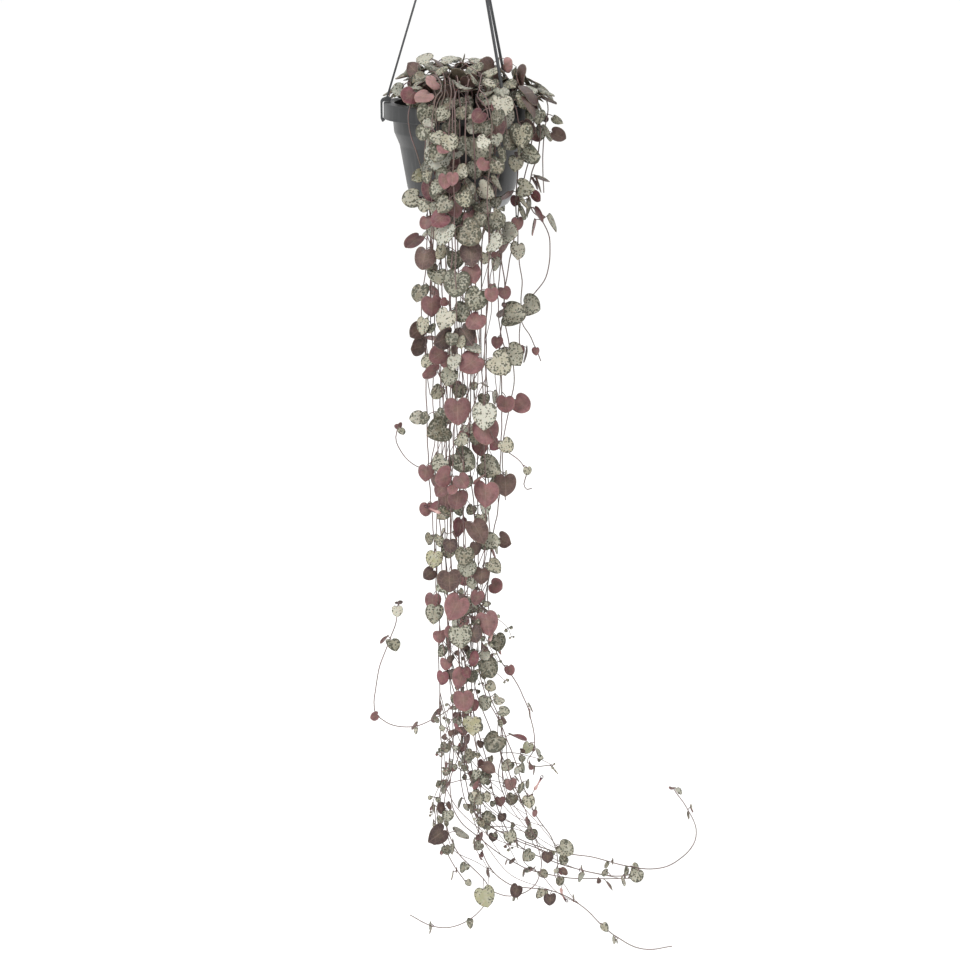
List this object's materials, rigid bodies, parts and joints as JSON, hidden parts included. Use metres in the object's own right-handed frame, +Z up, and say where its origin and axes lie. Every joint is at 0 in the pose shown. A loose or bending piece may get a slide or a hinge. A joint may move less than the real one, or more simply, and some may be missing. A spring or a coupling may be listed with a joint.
{
  "type": "trailing plant in a hanging pot",
  "caption": "String of hearts: thin trailing stems with small marbled heart-shaped leaves, falling from a dark plastic pot on a strap hanger with a hook.",
  "frame": {"origin": "the hook's bearing point: the inside top of the hook's bend", "axes": "+Z up, +X to the right and -Y to the viewer in the picture"},
  "size_m": [0.3094, 0.2144, 1.046],
  "materials": {
    "pot_plastic": "satin",
    "tray_plastic": "satin",
    "hanger_plastic": "satin",
    "potting_mix": "matte",
    "leaf_green": "satin"
  },
  "bodies": {
    "root": {"pot": "pot_plastic", "drip_tray": "tray_plastic", "soil": "potting_mix", "hanger_hook": "hanger_plastic", "hanger_strap_left": "hanger_plastic", "hanger_strap_front": "hanger_plastic", "hanger_strap_back": "hanger_plastic", "strand_01": "leaf_green", "strand_02": "leaf_green", "strand_03": "leaf_green", "strand_04": "leaf_green", "strand_05": "leaf_green", "strand_06": "leaf_green", "strand_07": "leaf_green", "strand_08": "leaf_green", "strand_09": "leaf_green", "strand_10": "leaf_green", "strand_11": "leaf_green", "strand_12": "leaf_green", "strand_13": "leaf_green", "strand_14": "leaf_green", "strand_15": "leaf_green", "strand_16": "leaf_green", "strand_17": "leaf_green", "strand_18": "leaf_green", "strand_19": "leaf_green", "strand_20": "leaf_green", "strand_21": "leaf_green", "strand_22": "leaf_green", "strand_23": "leaf_green", "strand_24": "leaf_green", "strand_25": "leaf_green", "strand_26": "leaf_green", "strand_27": "leaf_green", "strand_28": "leaf_green", "strand_29": "leaf_green", "crown_01": "leaf_green", "crown_02": "leaf_green", "crown_03": "leaf_green", "crown_04": "leaf_green", "crown_05": "leaf_green", "crown_06": "leaf_green", "crown_07": "leaf_green", "crown_08": "leaf_green", "crown_09": "leaf_green", "crown_10": "leaf_green", "crown_11": "leaf_green", "crown_12": "leaf_green"}
  },
  "joints": []
}
